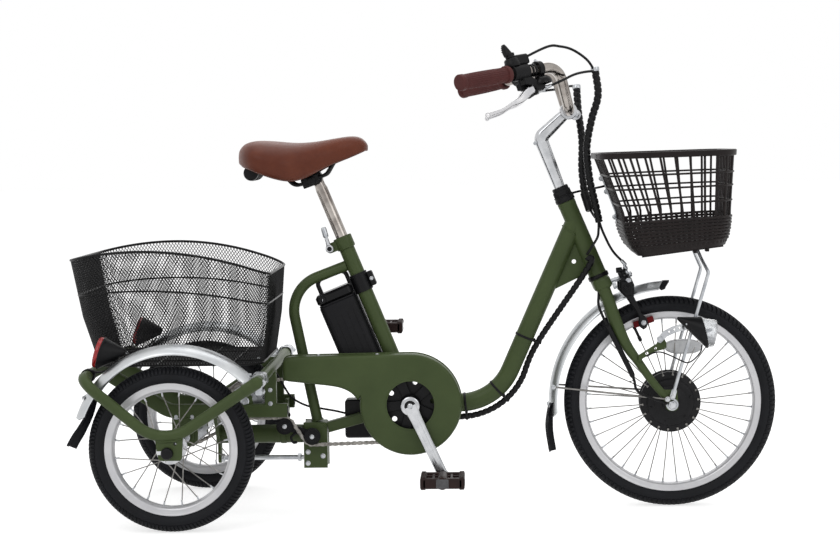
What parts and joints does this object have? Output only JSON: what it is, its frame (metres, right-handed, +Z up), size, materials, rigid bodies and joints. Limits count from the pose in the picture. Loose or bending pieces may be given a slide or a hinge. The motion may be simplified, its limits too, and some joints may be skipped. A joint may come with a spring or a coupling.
{
  "type": "adult tricycle",
  "caption": "Electric-assist adult tricycle with a swinging front frame, step-through main tube, saddle, swept handlebar, front and rear baskets, chain drive and small rear wheels.",
  "frame": {"origin": "on the ground under the middle of the tricycle's overall length and width", "axes": "+X forwards, +Y to the rider's left, +Z up"},
  "size_m": [1.4267, 0.602, 0.9491],
  "materials": {
    "olive_paint": "matte olive paint",
    "satin_alloy": "satin",
    "polished_alloy": "polished",
    "chrome_plate": "bright plated",
    "bare_steel": "oiled",
    "tyre_rubber": "matte",
    "black_plastic": "moulded",
    "black_wire": "black coated",
    "brown_resin": "woven look",
    "brown_leather": "grained",
    "maroon_rubber": "ribbed",
    "red_lens": "prismatic lens"
  },
  "bodies": {
    "rear_frame": {"rear_hoop_frame": "olive_paint", "front_cross_tube": "olive_paint", "centre_frame": "olive_paint", "rear_basket": "black_wire", "axle_chain": "bare_steel", "right_rear_fender": "satin_alloy", "left_rear_fender": "satin_alloy", "right_reflector": "red_lens", "left_reflector": "red_lens"},
    "front_frame": {"main_tube": "olive_paint", "seat_tube": "olive_paint", "rear_arch": "olive_paint", "chain_stay": "olive_paint", "swing_bracket": "olive_paint", "chain_case": "olive_paint", "drive_chain": "bare_steel", "chain_tensioner": "black_plastic", "battery_rail": "black_plastic", "controller_box": "black_plastic", "frame_harness": "black_plastic", "steering_cables": "black_plastic"},
    "steering": {"fork": "olive_paint", "headset_nut": "black_plastic", "handlebar_stem": "chrome_plate", "handlebar": "chrome_plate", "right_grip": "maroon_rubber", "left_grip": "maroon_rubber", "right_brake_perch": "black_plastic", "left_brake_perch": "black_plastic", "bell": "black_plastic", "front_fender": "satin_alloy", "front_brake": "black_plastic", "front_basket": "brown_resin", "basket_stay": "chrome_plate", "headlamp": "black_plastic", "cable_sleeves": "black_plastic"},
    "front_wheel": {"front_tyre": "tyre_rubber", "front_rim": "satin_alloy", "front_hub_motor": "black_plastic"},
    "right_rear_wheel": {"right_rear_tyre": "tyre_rubber", "right_rear_rim": "satin_alloy", "right_rear_hub": "chrome_plate", "rear_axle": "bare_steel"},
    "left_rear_wheel": {"left_rear_tyre": "tyre_rubber", "left_rear_rim": "satin_alloy", "left_rear_hub": "chrome_plate"},
    "gear_driver": {"gear_driver_sprocket": "bare_steel"},
    "gear_shell": {"gear_hub_shell": "satin_alloy"},
    "crank_set": {"right_crank": "polished_alloy", "left_crank": "polished_alloy", "chainring": "bare_steel"},
    "right_pedal_unit": {"right_pedal": "maroon_rubber"},
    "left_pedal_unit": {"left_pedal": "maroon_rubber"},
    "seat_unit": {"seat_post": "chrome_plate", "saddle": "brown_leather"},
    "seat_lever": {"seat_clamp_lever": "bare_steel"},
    "battery_pack": {"battery": "black_plastic"},
    "right_brake_hand": {"right_brake_lever": "polished_alloy"},
    "left_brake_hand": {"left_brake_lever": "polished_alloy"},
    "shift_hand": {"shift_lever": "black_plastic"}
  },
  "joints": [
    {"name": "frame_swing", "type": "hinge", "parent": "rear_frame", "child": "front_frame", "pos_m": [-0.261, 0, 0.156], "axis": [1, 0, 0], "range_deg": [-15, 15], "stiffness_Nm_per_rad": 400, "deforming": ["drive_chain"]},
    {"name": "steering_turn", "type": "hinge", "parent": "front_frame", "child": "steering", "pos_m": [0.35252, 0, 0.4749], "axis": [-0.3907, 0, 0.9205], "range_deg": [-60, 60], "deforming": ["steering_cables"]},
    {"name": "front_wheel_spin", "type": "hinge", "parent": "steering", "child": "front_wheel", "pos_m": [0.496, 0, 0.2175], "axis": [0, 1, 0], "continuous": true},
    {"name": "right_rear_wheel_spin", "type": "hinge", "parent": "rear_frame", "child": "right_rear_wheel", "pos_m": [-0.4995, -0.235, 0.164], "axis": [0, 1, 0], "continuous": true},
    {"name": "left_rear_wheel_spin", "type": "hinge", "parent": "rear_frame", "child": "left_rear_wheel", "pos_m": [-0.4995, 0.235, 0.164], "axis": [0, 1, 0], "continuous": true},
    {"name": "crank_spin", "type": "hinge", "parent": "front_frame", "child": "crank_set", "pos_m": [-0.037, 0, 0.222], "axis": [0, 1, 0], "continuous": true},
    {"name": "right_pedal_spin", "type": "hinge", "parent": "crank_set", "child": "right_pedal_unit", "pos_m": [0.02852, -0.131, 0.07823], "axis": [0, 1, 0], "continuous": true},
    {"name": "left_pedal_spin", "type": "hinge", "parent": "crank_set", "child": "left_pedal_unit", "pos_m": [-0.10252, 0.131, 0.36577], "axis": [0, 1, 0], "continuous": true},
    {"name": "gear_driver_spin", "type": "hinge", "parent": "rear_frame", "child": "gear_driver", "pos_m": [-0.375, -0.046, 0.232], "axis": [0, 1, 0], "continuous": true},
    {"name": "gear_shell_spin", "type": "hinge", "parent": "rear_frame", "child": "gear_shell", "pos_m": [-0.375, 0, 0.232], "axis": [0, 1, 0], "continuous": true},
    {"name": "seat_height", "type": "slide", "parent": "front_frame", "child": "seat_unit", "axis": [-0.3762, 0, 0.9265], "range_m": [-0.05, 0.07]},
    {"name": "seat_lever_turn", "type": "hinge", "parent": "front_frame", "child": "seat_lever", "pos_m": [-0.20003, -0.0225, 0.54111], "axis": [0, -1, 0], "range_deg": [0, 120]},
    {"name": "battery_release", "type": "slide", "parent": "front_frame", "child": "battery_pack", "axis": [0, 1, 0], "range_m": [0, 0.04]},
    {"name": "right_brake_pull", "type": "hinge", "parent": "steering", "child": "right_brake_hand", "pos_m": [0.20667, -0.17318, 0.8527], "axis": [-0.614, 0.7474, -0.2536], "range_deg": [0, 20], "stiffness_Nm_per_rad": 2, "springref_deg": -8.59},
    {"name": "left_brake_pull", "type": "hinge", "parent": "steering", "child": "left_brake_hand", "pos_m": [0.20667, 0.17318, 0.8527], "axis": [0.614, 0.7474, 0.2536], "range_deg": [0, 20], "stiffness_Nm_per_rad": 2, "springref_deg": -8.59},
    {"name": "shift_turn", "type": "hinge", "parent": "steering", "child": "shift_hand", "pos_m": [0.17132, -0.17847, 0.92269], "axis": [-0.27, 0.1031, 0.9573], "range_deg": [-30, 30]}
  ],
  "couplings": [
    {"joint": "gear_driver_spin", "follows": "crank_spin", "ratio": 2.1111},
    {"joint": "gear_shell_spin", "follows": "right_rear_wheel_spin", "ratio": 1}
  ]
}
